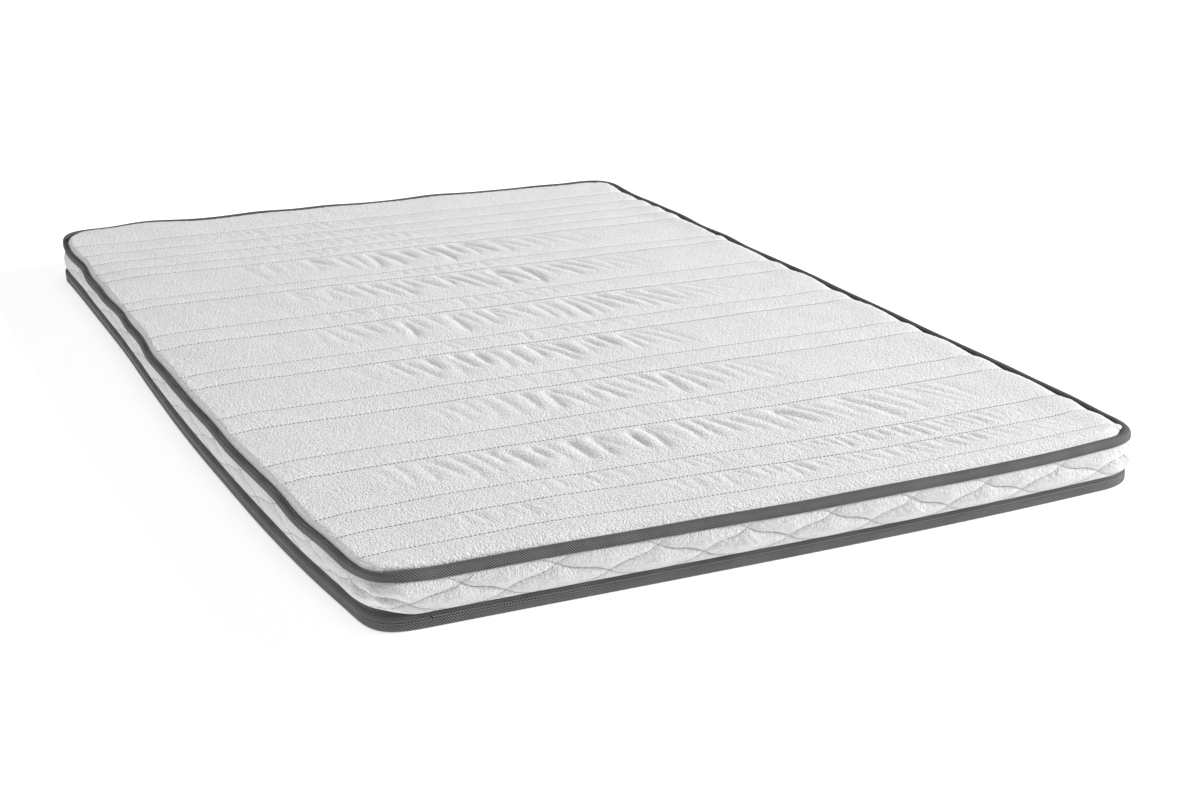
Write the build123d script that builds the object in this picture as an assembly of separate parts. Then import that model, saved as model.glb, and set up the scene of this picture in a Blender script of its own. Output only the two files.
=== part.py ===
from build123d import *
import os

# Thin memory foam mattress in a quilted zip-off cover, 1400 x 2000 mm.
# Millimetres. +Z up, +X across the width, +Y from the foot to the head.
# The origin is the middle of the outline on the underside.

# ---- driving dimensions ----
WIDTH = 1400.0
LENGTH = 2000.0
CORNER_RADIUS = 85.0          # plan radius of the outline
FOAM_INSET = 12.0             # from the outline to the foam block
UNDERSIDE_THICKNESS = 3.0
SUPPORT_FOAM_HEIGHT = 50.0
MEMORY_FOAM_HEIGHT = 30.0

# quilted top panel: scrim, fibre wadding and face knit
SCRIM = 0.6
RIM_WADDING = 3.0             # wadding pressed flat under the binding tape
FACE_KNIT = 1.5
CROWN_INSET = 20.0            # where the puffed part of the panel begins
GROOVE_RISE = 0.8             # the knit in a quilting groove, above the rim knit
PUFF = 3.1                    # rise of a wide channel between its grooves
WIDE_CHANNEL = 150.0
CHANNELS = (70, 80, 75, 155, 80, 160, 75, 165, 75, 170, 80, 185, 50, 170, 60, 70, 70, 80, 120)

# quilted border strip and binding tapes
BORDER_BOTTOM = 26.0
BORDER_KNIT_INSET = 2.0
BORDER_KNIT = 1.4
BORDER_WADDING = 8.0
TAPE_INSET = 0.5
TAPE = 1.4                    # thickness of a folded binding tape
TAPE_LAP = 18.0               # how far a tape laps over the panel it binds
UPPER_TAPE_BOTTOM = 73.5
LOWER_TAPE_BOTTOM = 0.3
LOWER_TAPE_TOP = 13.0
THREAD = 0.5                  # thread standing proud of the cloth
STITCH_SETBACK = 3.0          # from a tape's edge to its stitch line

# quilting of the border: rows of lens shapes
LENS_PITCH = 155.0
LENS_LENGTH = 142.0
LENS_RISE = 26.0
LENS_ROWS = (36.0, 63.0)
LENS_THREAD_WIDTH = 0.8

# zip round the bottom of the border
ZIP_TAPE_INSET = 6.2
ZIP_TAPE = 0.8
ZIP_TAPE_TOP = 34.0
ZIP_MIDDLE = 17.5
ZIP_GAP = 1.4                 # between the two rows of the coil, for the slider's post
COIL_HEIGHT = 2.6
COIL_DEPTH = 1.9
STOP_X = 609.0                # end stops, either side of the slider's travel
STOP_LENGTH = 5.4
SLIDER_X = 600.0
SLIDER_LENGTH = 11.0
SLIDER_PLATE = 0.9
SLIDER_POST = 0.8
SLIDER_FLANGE = 0.6
RUNNING_GAP = 0.3
BAIL_RADIUS = 0.5
BAIL_INSET = 0.4
PULL_EYE_RADIUS = 1.7
PULL_LENGTH = 15.0
PULL_WIDTH = 4.0
PULL_THICKNESS = 0.9

# ---- levels worked out from them ----
FOAM_BOTTOM = UNDERSIDE_THICKNESS
FOAM_SPLIT = FOAM_BOTTOM + SUPPORT_FOAM_HEIGHT
FOAM_TOP = FOAM_SPLIT + MEMORY_FOAM_HEIGHT
WADDING_BOTTOM = FOAM_TOP + SCRIM
RIM_BOTTOM = WADDING_BOTTOM + RIM_WADDING
RIM_TOP = RIM_BOTTOM + FACE_KNIT
GROOVE_TOP = RIM_TOP + GROOVE_RISE
UPPER_TAPE_TOP = RIM_TOP + TAPE
HEAD_Y = LENGTH / 2


def plate(inset, bottom, top):
    """A flat layer with the mattress's rounded plan, inset from its outline."""
    plan = RectangleRounded(WIDTH - 2 * inset, LENGTH - 2 * inset, CORNER_RADIUS - inset)
    return Pos(0, 0, bottom) * extrude(plan, top - bottom)


def ring(outer_inset, inner_inset, bottom, top):
    """A band that runs round the mattress between two insets."""
    return plate(outer_inset, bottom, top) - plate(inner_inset, bottom - 1, top + 1)


def block(x, inset_out, inset_in, z, length, height):
    """A small block on the head side, between two insets from the outline."""
    y = HEAD_Y - (inset_out + inset_in) / 2
    return Pos(x, y, z) * Box(length, inset_in - inset_out, height)


def groove_positions():
    """The y of each quilting line, from the foot."""
    lines = []
    y = -LENGTH / 2
    for width in CHANNELS[:-1]:
        y += width
        lines.append(y)
    return lines


def puffed(drop):
    """Everything under the puffed top of the panel, lowered by drop, down to the rim."""
    edges = [-LENGTH / 2] + groove_positions() + [LENGTH / 2]
    floor, groove = RIM_BOTTOM - 10, GROOVE_TOP - drop
    outline = []
    for start, end in zip(edges, edges[1:]):
        rise = PUFF * min(1, (end - start) / WIDE_CHANNEL)
        outline.append(ThreePointArc((start, groove), ((start + end) / 2, groove + rise), (end, groove)))
    outline.append(Polyline((edges[-1], groove), (edges[-1], floor), (edges[0], floor), (edges[0], groove)))
    side = Plane.YZ * make_face(Curve() + outline)
    return extrude(side, WIDTH / 2, both=True)


def foam_layers():
    return {
        "support_foam_core": plate(FOAM_INSET, FOAM_BOTTOM, FOAM_SPLIT),
        "memory_foam_layer": plate(FOAM_INSET, FOAM_SPLIT, FOAM_TOP),
    }


def top_panel():
    """Scrim, wadding and face knit, puffed between the quilting lines, with a flat rim for the tape."""
    rim_inset = BORDER_KNIT_INSET
    under_knit, under_face = puffed(FACE_KNIT), puffed(0)
    inner = CROWN_INSET + FACE_KNIT
    wadding = plate(rim_inset, WADDING_BOTTOM, RIM_BOTTOM)
    wadding += plate(inner, WADDING_BOTTOM, RIM_TOP + 2 * PUFF) & under_knit
    crown = plate(CROWN_INSET, RIM_BOTTOM, RIM_TOP + 2 * PUFF) & under_face
    knit = crown - (plate(inner, RIM_BOTTOM - 1, RIM_TOP + 2 * PUFF) & under_knit)
    knit += ring(rim_inset, CROWN_INSET, RIM_BOTTOM, RIM_TOP)
    return {
        "top_panel_scrim": plate(rim_inset, FOAM_TOP, WADDING_BOTTOM),
        "top_panel_wadding": wadding,
        "top_panel_knit": knit,
    }


def top_quilting_thread():
    """One thread along the bottom of each groove."""
    length = WIDTH - 2 * (CROWN_INSET + FACE_KNIT)
    z = GROOVE_TOP + 1.1 * THREAD
    rod = Rot(0, 90, 0) * Cylinder(THREAD, length)
    return Compound(children=[Pos(0, y, z) * rod for y in groove_positions()])


def border():
    """The strip round the side: knit, wadding with a slot for the zip tape, and scrim."""
    wadding_inset = BORDER_KNIT_INSET + BORDER_KNIT
    scrim_inset = wadding_inset + BORDER_WADDING
    slot = ring(ZIP_TAPE_INSET, ZIP_TAPE_INSET + ZIP_TAPE, BORDER_BOTTOM - 1, ZIP_TAPE_TOP)
    return {
        "border_knit": ring(BORDER_KNIT_INSET, wadding_inset, BORDER_BOTTOM, FOAM_TOP),
        "border_wadding": ring(wadding_inset, scrim_inset, BORDER_BOTTOM, FOAM_TOP) - slot,
        "border_scrim": ring(scrim_inset, FOAM_INSET, BORDER_BOTTOM, FOAM_TOP),
    }


def lens_thread(middle, row, rise, band):
    """Half of a lens outline: a curved ribbon of thread, kept between the zip and the upper tape."""
    start, end, up = middle - LENS_LENGTH / 2, middle + LENS_LENGTH / 2, LENS_THREAD_WIDTH
    ribbon = make_face(Curve() + [
        ThreePointArc((start, row), (middle, row + rise), (end, row)),
        Line((end, row), (end, row + up)),
        ThreePointArc((end, row + up), (middle, row + rise + up), (start, row + up)),
        Line((start, row + up), (start, row)),
    ])
    return (ribbon & band).faces()


def border_quilting_thread():
    """Two staggered rows of lenses along each straight wall."""
    half_width, half_length = WIDTH / 2 - BORDER_KNIT_INSET, LENGTH / 2 - BORDER_KNIT_INSET
    walls = (
        (Plane((0, -half_length, 0), x_dir=(1, 0, 0), z_dir=(0, -1, 0)), WIDTH),
        (Plane((half_width, 0, 0), x_dir=(0, 1, 0), z_dir=(1, 0, 0)), LENGTH),
        (Plane((0, half_length, 0), x_dir=(-1, 0, 0), z_dir=(0, 1, 0)), WIDTH),
        (Plane((-half_width, 0, 0), x_dir=(0, -1, 0), z_dir=(-1, 0, 0)), LENGTH),
    )
    low, high = BORDER_BOTTOM + 1, UPPER_TAPE_BOTTOM - 1
    threads = []
    for wall, side in walls:
        run = side - 2 * CORNER_RADIUS
        count = int(run / LENS_PITCH)
        band = Pos(0, (low + high) / 2) * Rectangle(run, high - low)
        for row_number, row in enumerate(LENS_ROWS):
            lenses = count - row_number
            for n in range(lenses):
                middle = (n - (lenses - 1) / 2) * LENS_PITCH
                for rise in (-LENS_RISE, LENS_RISE):
                    for face in lens_thread(middle, row, rise, band):
                        threads.append(extrude(wall * face, THREAD, dir=tuple(wall.z_dir)))
    return Compound(children=threads)


def binding_tapes():
    """Folded tapes over the upper and lower seams, open towards the middle of the mattress."""
    inner = TAPE_INSET + TAPE
    upper = ring(TAPE_INSET, inner, UPPER_TAPE_BOTTOM, UPPER_TAPE_TOP)
    upper += ring(inner, TAPE_LAP, RIM_TOP, UPPER_TAPE_TOP)
    upper += ring(inner, BORDER_KNIT_INSET, UPPER_TAPE_BOTTOM, UPPER_TAPE_BOTTOM + TAPE)
    lower = ring(TAPE_INSET, inner, LOWER_TAPE_BOTTOM, LOWER_TAPE_TOP)
    lower += ring(inner, TAPE_LAP, LOWER_TAPE_BOTTOM, LOWER_TAPE_BOTTOM + TAPE)
    lower += ring(inner, ZIP_TAPE_INSET, LOWER_TAPE_TOP - TAPE, LOWER_TAPE_TOP)
    return {"upper_binding_tape": upper, "lower_binding_tape": lower}


def binding_threads():
    """The stitch line along each tape."""
    upper, lower = UPPER_TAPE_BOTTOM + STITCH_SETBACK, LOWER_TAPE_TOP - STITCH_SETBACK
    outer = TAPE_INSET - THREAD
    return {
        "upper_binding_thread": ring(outer, TAPE_INSET, upper, upper + 2 * THREAD),
        "lower_binding_thread": ring(outer, TAPE_INSET, lower - 2 * THREAD, lower),
    }


def underside():
    """Plain cloth under the foam, with a thinner rim that the lower tape binds."""
    rim_bottom = LOWER_TAPE_BOTTOM + TAPE
    cloth = plate(TAPE_LAP + 1, 0, UNDERSIDE_THICKNESS)
    return cloth + ring(BORDER_KNIT_INSET, TAPE_LAP + 1, rim_bottom, UNDERSIDE_THICKNESS)


def end_stops(clearance):
    """A clamp on the coil at each end of the slider's travel."""
    height = ZIP_GAP + 2 * COIL_HEIGHT + clearance
    length = STOP_LENGTH + clearance
    outer, inner = ZIP_TAPE_INSET - COIL_DEPTH, ZIP_TAPE_INSET
    return [block(x, outer, inner, ZIP_MIDDLE, length, height) for x in (-STOP_X, STOP_X)]


def zip_chain():
    """Two tapes round the mattress, each with its row of the coil, and the two end stops."""
    tape_inner = ZIP_TAPE_INSET + ZIP_TAPE
    coil_outer = ZIP_TAPE_INSET - COIL_DEPTH
    above, below = ZIP_MIDDLE + ZIP_GAP / 2, ZIP_MIDDLE - ZIP_GAP / 2
    upper_coil = ring(coil_outer, ZIP_TAPE_INSET, above, above + COIL_HEIGHT)
    lower_coil = ring(coil_outer, ZIP_TAPE_INSET, below - COIL_HEIGHT, below)
    for space in end_stops(RUNNING_GAP):
        upper_coil -= space
        lower_coil -= space
    return {
        "zip_upper_tape": ring(ZIP_TAPE_INSET, tape_inner, above, ZIP_TAPE_TOP),
        "zip_lower_tape": ring(ZIP_TAPE_INSET, tape_inner, UNDERSIDE_THICKNESS, below),
        "zip_upper_coil": upper_coil,
        "zip_lower_coil": lower_coil,
        "zip_end_stops": Compound(children=end_stops(0)),
    }


def zip_slider():
    """Outer and inner plates joined by a post, flanges round the coil, and a lengthwise bail."""
    coil_outer = ZIP_TAPE_INSET - COIL_DEPTH
    plate_inner = coil_outer - RUNNING_GAP
    plate_outer = plate_inner - SLIDER_PLATE
    back_outer = ZIP_TAPE_INSET + ZIP_TAPE + RUNNING_GAP
    flange_z = ZIP_GAP / 2 + COIL_HEIGHT + RUNNING_GAP + SLIDER_FLANGE / 2
    height = 2 * flange_z + SLIDER_FLANGE
    front = block(SLIDER_X, plate_outer, plate_inner, ZIP_MIDDLE, SLIDER_LENGTH, height)
    front = fillet(front.edges().filter_by(Axis.Y), 2.0)
    back = block(SLIDER_X, back_outer, back_outer + SLIDER_PLATE, ZIP_MIDDLE, SLIDER_LENGTH, height)
    back = fillet(back.edges().filter_by(Axis.Y), 2.0)
    post = block(SLIDER_X, plate_inner - 0.1, back_outer + 0.1, ZIP_MIDDLE, 4, SLIDER_POST)
    body = front + back + post
    for side in (-1, 1):
        z = ZIP_MIDDLE + side * flange_z
        body += block(SLIDER_X, plate_inner - 0.1, ZIP_TAPE_INSET - RUNNING_GAP, z, 6.5, SLIDER_FLANGE)
    bar_y = HEAD_Y - BAIL_INSET
    body += Pos(SLIDER_X, bar_y, ZIP_MIDDLE) * Rot(0, 90, 0) * Cylinder(BAIL_RADIUS, 8)
    for end in (-3.5, 3.5):
        body += block(SLIDER_X + end, BAIL_INSET, plate_inner - 0.1, ZIP_MIDDLE, 1, 2 * BAIL_RADIUS)
    return body


def zip_pull_tab():
    """A short tab that hangs from an eye round the slider's bail."""
    bar_y = HEAD_Y - BAIL_INSET
    outer_y = bar_y + PULL_EYE_RADIUS
    eye = Rot(0, 90, 0) * Cylinder(PULL_EYE_RADIUS, PULL_WIDTH)
    hole = Rot(0, 90, 0) * Cylinder(BAIL_RADIUS + RUNNING_GAP, PULL_WIDTH + 2)
    tab = Pos(SLIDER_X, bar_y, ZIP_MIDDLE) * eye
    blade_y = outer_y - PULL_THICKNESS / 2
    blade = Pos(SLIDER_X, blade_y, ZIP_MIDDLE - PULL_LENGTH / 2) * Box(PULL_WIDTH, PULL_THICKNESS, PULL_LENGTH)
    foot_edges = blade.edges().filter_by(Axis.Y).sort_by(Axis.Z)[:2]
    blade = fillet(foot_edges, 1.9)
    return tab + blade - Pos(SLIDER_X, bar_y, ZIP_MIDDLE) * hole


def all_nodes():
    nodes = {}
    nodes.update(foam_layers())
    nodes.update(top_panel())
    nodes["top_quilting_thread"] = top_quilting_thread()
    nodes.update(border())
    nodes["border_quilting_thread"] = border_quilting_thread()
    nodes.update(binding_tapes())
    nodes.update(binding_threads())
    nodes["underside_cloth"] = underside()
    nodes.update(zip_chain())
    nodes["zip_slider"] = zip_slider()
    nodes["zip_pull_tab"] = zip_pull_tab()
    return nodes


os.makedirs("parts", exist_ok=True)
for name, shape in all_nodes().items():
    export_step(shape, f"parts/{name}.step")
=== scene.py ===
# %% [markdown]
# # A thin memory foam mattress in a quilted zip-off cover
#
# The real thing is two sheets of foam in a sewn cover. The cover is the whole look: a pebbled knit
# top that straight quilting lines gather into soft channels, a side border quilted in lens shapes,
# and two dark woven tapes that bind its seams. Each piece is built here as its own mesh, in the
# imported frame's metres.

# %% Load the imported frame
import math

import bpy
import numpy as np
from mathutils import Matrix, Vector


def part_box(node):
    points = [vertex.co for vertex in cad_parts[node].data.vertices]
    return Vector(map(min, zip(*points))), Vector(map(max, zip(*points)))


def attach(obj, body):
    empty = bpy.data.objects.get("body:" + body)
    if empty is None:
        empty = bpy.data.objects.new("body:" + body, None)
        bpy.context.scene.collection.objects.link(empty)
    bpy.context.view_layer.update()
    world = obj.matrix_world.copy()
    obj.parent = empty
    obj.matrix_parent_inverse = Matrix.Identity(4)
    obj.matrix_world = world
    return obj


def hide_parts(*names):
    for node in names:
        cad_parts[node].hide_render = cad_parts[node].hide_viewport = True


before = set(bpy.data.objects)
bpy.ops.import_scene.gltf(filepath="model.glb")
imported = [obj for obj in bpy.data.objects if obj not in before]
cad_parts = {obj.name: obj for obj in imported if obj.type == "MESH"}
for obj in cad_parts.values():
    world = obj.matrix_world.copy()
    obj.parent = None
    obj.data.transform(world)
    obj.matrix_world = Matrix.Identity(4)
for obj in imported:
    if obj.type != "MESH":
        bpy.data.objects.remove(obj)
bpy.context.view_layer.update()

# %% [markdown]
# ## Sizes
#
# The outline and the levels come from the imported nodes. The softness is added to them: a filled
# cover never keeps the straight sides of its pattern, so the sides bow out between the corners and
# the edges ripple a little. A cloth simulation is one way to find such a shape. Here one function,
# soften, moves the points of every piece that this script builds, so neighbours stay together and
# each bow is set in millimetres. At the zip's height it keeps the head side straight, because the
# packed slider runs there.

# %% Sizes from the frame
MM = 0.001
tape_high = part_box("upper_binding_tape")[1]
HALF_WIDTH = tape_high.x + 0.5 * MM
HALF_LENGTH = tape_high.y + 0.5 * MM
CORNER = 85 * MM  # plan radius of the outline
TOP_LEVEL = 88 * MM  # where the bow of the upper edge is reached
FOAM_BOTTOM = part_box("support_foam_core")[0].z
FOAM_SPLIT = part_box("support_foam_core")[1].z
FOAM_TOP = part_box("memory_foam_layer")[1].z
FOAM_INSET = HALF_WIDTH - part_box("memory_foam_layer")[1].x
print("half width", round(HALF_WIDTH, 4), "half length", round(HALF_LENGTH, 4), "foam top", FOAM_TOP)


# %% Small number helpers
def smooth(start, end, value):
    """0 before start, 1 after end, and an even S between them."""
    t = np.clip((value - start) / (end - start), 0, 1)
    return t * t * (3 - 2 * t)


def ripples(x, y, size, seed, waves=14):
    """Soft seeded noise of about the given wavelength, from -1 to 1, as a sum of sine waves."""
    dice = np.random.RandomState(seed)
    total = np.zeros(np.broadcast(x, y).shape)
    for _ in range(waves):
        turn, phase = dice.uniform(0, 2 * math.pi, 2)
        wave = 2 * math.pi / (size * dice.uniform(0.7, 1.6))
        total = total + np.sin(wave * (x * math.cos(turn) + y * math.sin(turn)) + phase)
    return total / math.sqrt(waves) * 0.7


def along_curve(points, count):
    """count points on a smooth curve (Catmull-Rom) through the given ones."""
    knots = np.array(points, float)
    ends = np.vstack([2 * knots[0] - knots[1], knots, 2 * knots[-1] - knots[-2]])
    place = np.linspace(0, len(knots) - 1 - 1e-9, count)
    first = place.astype(int)
    t = (place - first)[:, None]
    a, b, c, d = (ends[first + k] for k in range(4))
    return 0.5 * (2 * b + (c - a) * t + (2 * a - 5 * b + 4 * c - d) * t**2 + (3 * b - a - 3 * c + d) * t**3)


# %% The soft outline
# how far a side stands out past its straight pattern, as (share of the way from foot to head, mm):
# the left side low down and high up, then the right side
LEFT_LOW = ((0, 10), (0.05, 17), (0.1, 25), (0.18, 32), (0.32, 33), (0.43, 30), (0.57, 18), (0.68, 6),
            (0.81, -2), (0.93, -8), (1, -9))
LEFT_HIGH = ((0, 14), (0.05, 23), (0.15, 36), (0.25, 38), (0.38, 38), (0.51, 31), (0.6, 24), (0.67, 18),
             (0.75, 10), (0.87, 2), (1, -4))
RIGHT = ((0, 16), (0.25, 23), (0.5, 26), (0.75, 22), (1, 12))
NEAR_CORNER_PUSH, OTHER_CORNER_PUSH = 14 * MM, 6 * MM


def through(stops, t):
    """A smooth curve through (place, distance in mm) stops, read at t."""
    place, value = np.array(stops).T
    slope = np.gradient(value, place)
    k = np.clip(np.searchsorted(place, t) - 1, 0, len(place) - 2)
    span = place[k + 1] - place[k]
    u = np.clip((t - place[k]) / span, 0, 1)
    start = (2 * u**3 - 3 * u**2 + 1) * value[k] + (u**3 - 2 * u**2 + u) * span * slope[k]
    end = (3 * u**2 - 2 * u**3) * value[k + 1] + (u**3 - u**2) * span * slope[k + 1]
    return (start + end) * MM


def soften(points):
    """Moves points of the straight pattern to where the filled cover holds them."""
    x, y, z = points[..., 0], points[..., 1], points[..., 2]
    across, along = (x / HALF_WIDTH + 1) / 2, np.clip((y / HALF_LENGTH + 1) / 2, 0, 1)
    up = np.clip(z / TOP_LEVEL, 0, 1)
    # the sides and the foot bow out between the corners
    left = through(LEFT_LOW, along) * (1 - up) + through(LEFT_HIGH, along) * up
    hump = 4 * np.clip(across * (1 - across), 0, 1)
    foot = hump * (14 + (8 + 8 * up) * (2 * across - 1)) * MM
    moved = np.array(points, float)
    moved[..., 0] += np.clip(across * 2 - 1, 0, 1) ** 2 * through(RIGHT, along)
    moved[..., 0] -= np.clip(1 - across * 2, 0, 1) ** 2 * left
    moved[..., 1] -= np.clip(1 - along * 2, 0, 1) ** 4 * foot
    # the upper edge ripples, lifts at the head and on the right, and leans out at the head
    near_edge = 1 - smooth(15 * MM, 110 * MM, plan_inset(x, y))
    high = smooth(20 * MM, 75 * MM, z)
    far = smooth(-0.2, 0.8, y)
    head = smooth(HALF_LENGTH - 220 * MM, HALF_LENGTH - 10 * MM, y)
    right_side = smooth(0.3, 0.69, x)
    moved[..., 2] += near_edge * high * (1.3 + 1.0 * far) * MM * ripples(x, y, 0.30, 5)
    moved[..., 2] += near_edge * high * (5.5 * head + 2.5 * right_side * (1 - head)) * MM
    swing = np.where(x < 0, 3.2 + 2.8 * far, 2.0 + 3.6 * far)
    sway = near_edge * high * swing * MM * ripples(x, y, 0.20, 8)
    moved[..., 0] += sway * np.sign(x) * smooth(0.3, 0.6, np.abs(x))
    moved[..., 1] += head * (1.2 * sway + near_edge * high * 11 * MM)
    # the corners stand out, the left one at the foot most of all
    beside = np.clip((np.abs(x) - HALF_WIDTH + CORNER) / CORNER, 0, 1)
    beyond = np.clip((np.abs(y) - HALF_LENGTH + CORNER) / CORNER, 0, 1)
    near = (x < 0) & (y < 0)
    guard = np.where(y > 0, high, 1)
    most = np.where(near, NEAR_CORNER_PUSH, OTHER_CORNER_PUSH) * guard
    push = most * (2 * beside * beyond) ** 2 / math.sqrt(2)
    moved[..., 0] += np.sign(x) * push
    moved[..., 1] += np.sign(y) * push
    moved[..., 2] += np.where(near, 4 * MM, 0) * high * 2 * beside * beyond
    return moved


def plan_inset(x, y, half_width=HALF_WIDTH, half_length=HALF_LENGTH, radius=CORNER):
    """How far a point lies inside the rounded outline."""
    beside, beyond = np.abs(x) - (half_width - radius), np.abs(y) - (half_length - radius)
    outside = np.hypot(np.maximum(beside, 0), np.maximum(beyond, 0))
    return radius - outside - np.minimum(np.maximum(beside, beyond), 0)


# %% [markdown]
# ## Meshes from grids and sections
#
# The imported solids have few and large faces, which can't hold a crease, so each soft piece is built
# again from arrays of points, as one of two kinds of mesh. A panel is a grid that fills the rounded
# plan: its square corners are turned into quarter discs, so the rows stay straight where the
# quilting runs. A band is a cross-section carried round the outline. Both are closed meshes.

# %% Mesh builders
def build_mesh(name, points, quads, uvs=None):
    """A smooth-shaded mesh object from arrays, with one UV pair per quad corner if given."""
    mesh = bpy.data.meshes.new(name)
    mesh.vertices.add(len(points))
    mesh.vertices.foreach_set("co", np.asarray(points, np.float32).ravel())
    mesh.loops.add(quads.size)
    mesh.loops.foreach_set("vertex_index", quads.astype(np.int32).ravel())
    mesh.polygons.add(len(quads))
    mesh.polygons.foreach_set("loop_start", np.arange(len(quads), dtype=np.int32) * 4)
    mesh.update(calc_edges=True)
    if uvs is not None:
        layer = mesh.uv_layers.new(name="UVMap")
        layer.data.foreach_set("uv", np.asarray(uvs, np.float32).ravel())
    mesh.shade_smooth()
    mesh.validate()
    piece = bpy.data.objects.new(name, mesh)
    bpy.context.scene.collection.objects.link(piece)
    return piece


def grid_quads(rows, columns, first=0, wrap_rows=False, wrap_columns=False):
    """Quads of a grid of points, joined end to end where it wraps."""
    index = np.arange(rows * columns).reshape(rows, columns) + first
    if wrap_rows:
        index = np.vstack([index, index[:1]])
    if wrap_columns:
        index = np.hstack([index, index[:, :1]])
    corners = (index[:-1, :-1], index[:-1, 1:], index[1:, 1:], index[1:, :-1])
    return np.stack([c.ravel() for c in corners], axis=1)


def finish_piece(piece, material, node_names, body="mattress"):
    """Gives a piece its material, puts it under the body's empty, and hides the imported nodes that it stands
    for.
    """
    piece.data.materials.append(material)
    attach(piece, body)
    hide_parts(*node_names)
    faces = len(piece.data.polygons)
    print(f"{piece.name}: {faces} faces, stands for {', '.join(node_names)}")
    return piece


# %% Panels
def plan_points(across, along, inset):
    """The x and y of a grid on the rounded plan. across and along run from -1 to 1."""
    half_width, half_length, radius = HALF_WIDTH - inset, HALF_LENGTH - inset, CORNER - inset
    x, y = np.meshgrid(across * half_width, along * half_length)
    a = np.maximum(np.abs(x) - (half_width - radius), 0)
    b = np.maximum(np.abs(y) - (half_length - radius), 0)
    pull = np.where(a * b > 0, np.maximum(a, b) / np.maximum(np.hypot(a, b), 1e-9), 1)
    x = np.sign(x) * (np.abs(x) - a + a * pull)
    y = np.sign(y) * (np.abs(y) - b + b * pull)
    return x, y


def closed_panel(name, top, bottom):
    """Joins two grids of the same size, one over the other, into a closed piece."""
    rows, columns = top.shape[:2]
    upper = grid_quads(rows, columns)
    lower = grid_quads(rows, columns, rows * columns)[:, ::-1]
    index = np.arange(rows * columns).reshape(rows, columns)
    rim = np.concatenate([index[0, :-1], index[:-1, -1], index[-1, :0:-1], index[:0:-1, 0]])
    following = np.roll(rim, -1)
    below = rows * columns
    sides = np.stack([rim, rim + below, following + below, following], axis=1)
    points = np.concatenate([top.reshape(-1, 3), bottom.reshape(-1, 3)])
    return build_mesh(name, points, np.concatenate([upper, lower, sides]))


def spread(step, half, fine_edge=60 * MM, fine_step=3 * MM):
    """Even places from -1 to 1, finer within fine_edge of the ends."""
    edge = np.arange(0, fine_edge, fine_step)
    middle = np.linspace(fine_edge, 2 * half - fine_edge, int((2 * half - 2 * fine_edge) / step))
    return np.concatenate([edge, middle, 2 * half - edge[::-1]]) / half - 1


def flat_layer(name, inset, bottom, top, step=25 * MM):
    """A flat soft layer: foam, non-woven or cloth, with the mattress's soft outline."""
    across, along = spread(step, HALF_WIDTH, 90 * MM, 9 * MM), spread(step, HALF_LENGTH, 90 * MM, 9 * MM)
    x, y = plan_points(across, along, inset)
    faces = [soften(np.stack([x, y, np.full_like(x, z)], axis=-1)) for z in (top, bottom)]
    return closed_panel(name, *faces)


# %% Bands round the outline
def outline(step=3.2 * MM):
    """Points round the outline from the foot's left end, with outward normals and distances."""
    x_run, y_run = 2 * (HALF_WIDTH - CORNER), 2 * (HALF_LENGTH - CORNER)
    runs, normals = [], []
    centres = [(1, -1), (1, 1), (-1, 1), (-1, -1)]
    for side, run in enumerate((x_run, y_run, x_run, y_run)):
        facing = side * math.pi / 2 - math.pi / 2
        cx, cy = centres[side - 1]
        normal = np.array([math.cos(facing), math.sin(facing)])
        forward = np.array([-normal[1], normal[0]])
        start = np.array([cx * (HALF_WIDTH - CORNER), cy * (HALF_LENGTH - CORNER)]) + normal * CORNER
        place = np.linspace(0, run, int(run / step), endpoint=False)
        runs.append(start + place[:, None] * forward)
        normals.append(np.repeat(normal[None], len(place), 0))
        arc_steps = int(CORNER * math.pi / 2 / step * 1.3)
        turn = facing + np.linspace(0, math.pi / 2, arc_steps, endpoint=False)
        cx, cy = centres[side]
        corner = np.array([cx * (HALF_WIDTH - CORNER), cy * (HALF_LENGTH - CORNER)])
        radial = np.stack([np.cos(turn), np.sin(turn)], axis=1)
        runs.append(corner + CORNER * radial)
        normals.append(radial)
    points, outward = np.concatenate(runs), np.concatenate(normals)
    steps = np.linalg.norm(np.roll(points, -1, 0) - points, axis=1)
    distance = np.concatenate([[0], np.cumsum(steps)])
    return points, outward, distance[:-1], distance[-1]


RIM, RIM_NORMAL, RIM_AT, RIM_LENGTH = outline()
# how much each step of the outline belongs to the head side, to the left side and to a corner
AT_HEAD = smooth(HALF_LENGTH - 70 * MM, HALF_LENGTH - 20 * MM, RIM[:, 1])
AT_LEFT = smooth(HALF_WIDTH - 70 * MM, HALF_WIDTH - 20 * MM, -RIM[:, 0]) * (1 - AT_HEAD)
AT_CORNER = np.minimum(smooth(0, 60 * MM, np.abs(RIM[:, 0]) - (HALF_WIDTH - CORNER)),
                       smooth(0, 60 * MM, np.abs(RIM[:, 1]) - (HALF_LENGTH - CORNER)))
print("outline:", round(RIM_LENGTH, 3), "m round, in", len(RIM), "steps")


def around(section):
    """Places a cross-section of (inset, height) pairs, the same or varying, round the outline."""
    inset, height = section[..., 0], section[..., 1]
    plan = RIM[:, None, :] - RIM_NORMAL[:, None, :] * inset[..., None]
    return soften(np.concatenate([plan, np.broadcast_to(height, plan.shape[:2])[..., None]], axis=-1))


def folded(path, thickness):
    """A closed section: the path outside, and the same path one thickness inwards on the way back."""
    step = np.gradient(path, axis=-2)
    step /= np.maximum(np.linalg.norm(step, axis=-1, keepdims=True), 1e-9)
    inward = np.stack([step[..., 1], -step[..., 0]], axis=-1)
    return np.concatenate([path, (path + inward * thickness)[..., ::-1, :]], axis=-2)


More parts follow.
